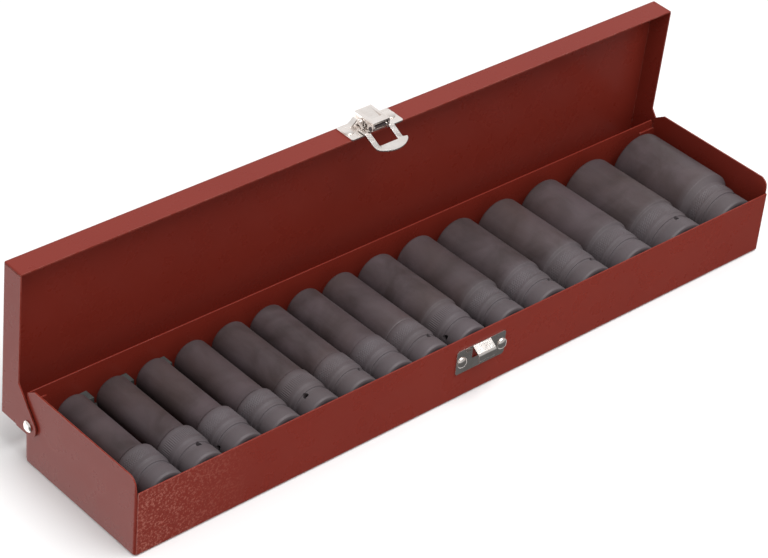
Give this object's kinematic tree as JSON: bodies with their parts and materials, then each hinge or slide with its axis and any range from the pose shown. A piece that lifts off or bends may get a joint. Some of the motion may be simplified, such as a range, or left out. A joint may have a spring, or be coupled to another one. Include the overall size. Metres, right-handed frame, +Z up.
{
  "type": "socket storage case",
  "caption": "Hinged red sheet-metal case with a draw latch, holding a row of loose deep impact sockets on notched support bars",
  "frame": {"origin": "centre of the tray's underside", "axes": "+X along the case, -Y the latch side, +Y the hinge side, +Z up"},
  "size_m": [0.4574, 0.1157, 0.1208],
  "materials": {
    "red_paint": "glossy brick-red enamel with slight orange peel",
    "nickel_plate": "bright nickel plate",
    "phosphate_steel": "dark matt phosphate over forged steel",
    "grey_foam": "closed-cell grey foam"
  },
  "bodies": {
    "tray": {"tray_shell": "red_paint", "foam_bar_front": "grey_foam", "foam_bar_rear": "grey_foam", "catch_plate": "nickel_plate", "catch_rivets": "nickel_plate", "hinge_rivet_left": "nickel_plate", "hinge_rivet_right": "nickel_plate"},
    "lid": {"lid_shell": "red_paint", "latch_base_plate": "nickel_plate", "latch_rivets": "nickel_plate", "lever_pin": "phosphate_steel"},
    "lever": {"latch_lever": "nickel_plate", "bail_pin": "nickel_plate"},
    "bail": {"latch_bail": "nickel_plate"},
    "socket_10_body": {"socket_10": "phosphate_steel"},
    "socket_11_body": {"socket_11": "phosphate_steel"},
    "socket_12_body": {"socket_12": "phosphate_steel"},
    "socket_13_body": {"socket_13": "phosphate_steel"},
    "socket_14_body": {"socket_14": "phosphate_steel"},
    "socket_15_body": {"socket_15": "phosphate_steel"},
    "socket_16_body": {"socket_16": "phosphate_steel"},
    "socket_17_body": {"socket_17": "phosphate_steel"},
    "socket_18_body": {"socket_18": "phosphate_steel"},
    "socket_19_body": {"socket_19": "phosphate_steel"},
    "socket_21_body": {"socket_21": "phosphate_steel"},
    "socket_22_body": {"socket_22": "phosphate_steel"},
    "socket_24_body": {"socket_24": "phosphate_steel"},
    "socket_27_body": {"socket_27": "phosphate_steel"},
    "socket_30_body": {"socket_30": "phosphate_steel"}
  },
  "joints": [
    {"name": "lid_hinge", "type": "hinge", "parent": "tray", "child": "lid", "pos_m": [0.00035, 0.04056, 0.02512], "axis": [-1, 0, 0], "range_deg": [-88.5, 0]},
    {"name": "lever_hinge", "type": "hinge", "parent": "lid", "child": "lever", "pos_m": [0.00095, 0.04655, 0.11638], "axis": [1, 0, 0], "range_deg": [0, 55]},
    {"name": "bail_swing", "type": "hinge", "parent": "lever", "child": "bail", "pos_m": [0.00095, 0.05383, 0.11717], "axis": [-1, 0, 0], "range_deg": [0, 75.5]},
    {"name": "socket_10_lift", "type": "slide", "parent": "tray", "child": "socket_10_body", "axis": [0, 0, 1], "range_m": [0, 0.055]},
    {"name": "socket_11_lift", "type": "slide", "parent": "tray", "child": "socket_11_body", "axis": [0, 0, 1], "range_m": [0, 0.055]},
    {"name": "socket_12_lift", "type": "slide", "parent": "tray", "child": "socket_12_body", "axis": [0, 0, 1], "range_m": [0, 0.055]},
    {"name": "socket_13_lift", "type": "slide", "parent": "tray", "child": "socket_13_body", "axis": [0, 0, 1], "range_m": [0, 0.055]},
    {"name": "socket_14_lift", "type": "slide", "parent": "tray", "child": "socket_14_body", "axis": [0, 0, 1], "range_m": [0, 0.055]},
    {"name": "socket_15_lift", "type": "slide", "parent": "tray", "child": "socket_15_body", "axis": [0, 0, 1], "range_m": [0, 0.055]},
    {"name": "socket_16_lift", "type": "slide", "parent": "tray", "child": "socket_16_body", "axis": [0, 0, 1], "range_m": [0, 0.055]},
    {"name": "socket_17_lift", "type": "slide", "parent": "tray", "child": "socket_17_body", "axis": [0, 0, 1], "range_m": [0, 0.055]},
    {"name": "socket_18_lift", "type": "slide", "parent": "tray", "child": "socket_18_body", "axis": [0, 0, 1], "range_m": [0, 0.055]},
    {"name": "socket_19_lift", "type": "slide", "parent": "tray", "child": "socket_19_body", "axis": [0, 0, 1], "range_m": [0, 0.055]},
    {"name": "socket_21_lift", "type": "slide", "parent": "tray", "child": "socket_21_body", "axis": [0, 0, 1], "range_m": [0, 0.055]},
    {"name": "socket_22_lift", "type": "slide", "parent": "tray", "child": "socket_22_body", "axis": [0, 0, 1], "range_m": [0, 0.055]},
    {"name": "socket_24_lift", "type": "slide", "parent": "tray", "child": "socket_24_body", "axis": [0, 0, 1], "range_m": [0, 0.055]},
    {"name": "socket_27_lift", "type": "slide", "parent": "tray", "child": "socket_27_body", "axis": [0, 0, 1], "range_m": [0, 0.055]},
    {"name": "socket_30_lift", "type": "slide", "parent": "tray", "child": "socket_30_body", "axis": [0, 0, 1], "range_m": [0, 0.055]}
  ],
  "couplings": [
    {"joint": "lever_hinge", "follows": "lid_hinge", "ratio": -0.62147},
    {"joint": "bail_swing", "follows": "lid_hinge", "ratio": -0.85311}
  ]
}
